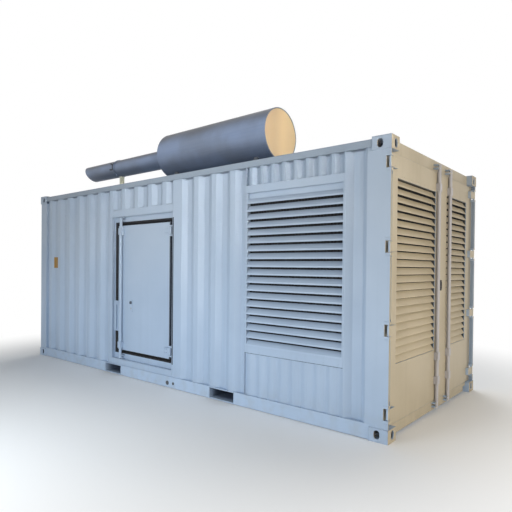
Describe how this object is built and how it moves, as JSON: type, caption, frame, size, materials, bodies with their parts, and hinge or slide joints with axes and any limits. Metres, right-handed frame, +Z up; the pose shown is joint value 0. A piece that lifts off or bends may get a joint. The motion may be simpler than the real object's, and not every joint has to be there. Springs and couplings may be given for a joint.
{
  "type": "containerized diesel generator",
  "caption": "Hollow steel container housing for a diesel generator, with louvred end doors, a louvred side bay, a hinged service door and a roof exhaust silencer.",
  "frame": {"origin": "centre of the container's footprint, at the underside of the bottom corner castings", "axes": "+X along the length towards the door end, +Z up, the service door on the -Y side"},
  "size_m": [6.058, 2.438, 3.334],
  "materials": {
    "paint": "satin",
    "paint_dark": "satin",
    "exhaust": "satin",
    "zinc": "satin",
    "rubber": "matt",
    "floor": "matt"
  },
  "bodies": {
    "container": {"bottom_castings": "paint", "top_castings": "paint", "front_posts": "paint", "rear_posts": "paint", "bottom_side_rails": "paint", "top_side_rails": "paint", "front_rails": "paint", "rear_sill": "paint", "rear_header": "paint", "cross_members": "paint_dark", "fork_pockets": "paint_dark", "floor_plate": "floor", "roof_panel": "paint", "front_wall": "paint", "near_wall_front": "paint", "door_bay_panels": "paint", "near_wall_middle": "paint", "near_bay_panels": "paint", "rear_wall_strips": "paint", "far_wall": "paint", "far_bay_panels": "paint", "near_louvre_frame": "paint", "near_louvre_blades": "paint", "far_louvre_frame": "paint", "far_louvre_blades": "paint", "side_door_frame": "paint", "side_door_seal": "rubber", "side_door_lugs": "zinc", "side_door_keepers": "zinc", "end_door_lugs": "zinc", "end_door_keepers": "zinc", "rail_fittings": "zinc", "silencer_shell": "exhaust", "silencer_caps": "exhaust", "tail_pipe": "exhaust", "tail_clamp": "exhaust", "tail_end": "exhaust", "tail_post": "paint_dark", "silencer_saddles": "paint_dark", "exhaust_riser": "exhaust"},
    "side_door": {"side_door_leaf": "paint", "side_door_hinges": "paint", "side_rod_guides": "paint", "side_door_lock": "zinc"},
    "side_rod": {"side_lock_rod": "paint"},
    "near_end_door": {"near_end_leaf": "paint", "near_end_blades": "paint", "near_end_hinges": "paint", "near_end_rod": "paint"},
    "far_end_door": {"far_end_leaf": "paint", "far_end_blades": "paint", "far_end_hinges": "paint", "far_end_rod": "paint"}
  },
  "joints": [
    {"name": "side_door_hinge", "type": "hinge", "parent": "container", "child": "side_door", "pos_m": [0.213, -1.189, 1.2], "axis": [0, 0, 1], "range_deg": [0, 140]},
    {"name": "side_lock_turn", "type": "hinge", "parent": "side_door", "child": "side_rod", "pos_m": [-0.81, -1.195, 1.2], "axis": [0, 0, 1], "range_deg": [0, 90]},
    {"name": "near_end_door_hinge", "type": "hinge", "parent": "container", "child": "near_end_door", "pos_m": [3.012, -1.19, 1.2], "axis": [0, 0, -1], "range_deg": [0, 190]},
    {"name": "far_end_door_hinge", "type": "hinge", "parent": "container", "child": "far_end_door", "pos_m": [3.012, 1.19, 1.2], "axis": [0, 0, 1], "range_deg": [0, 190]}
  ]
}
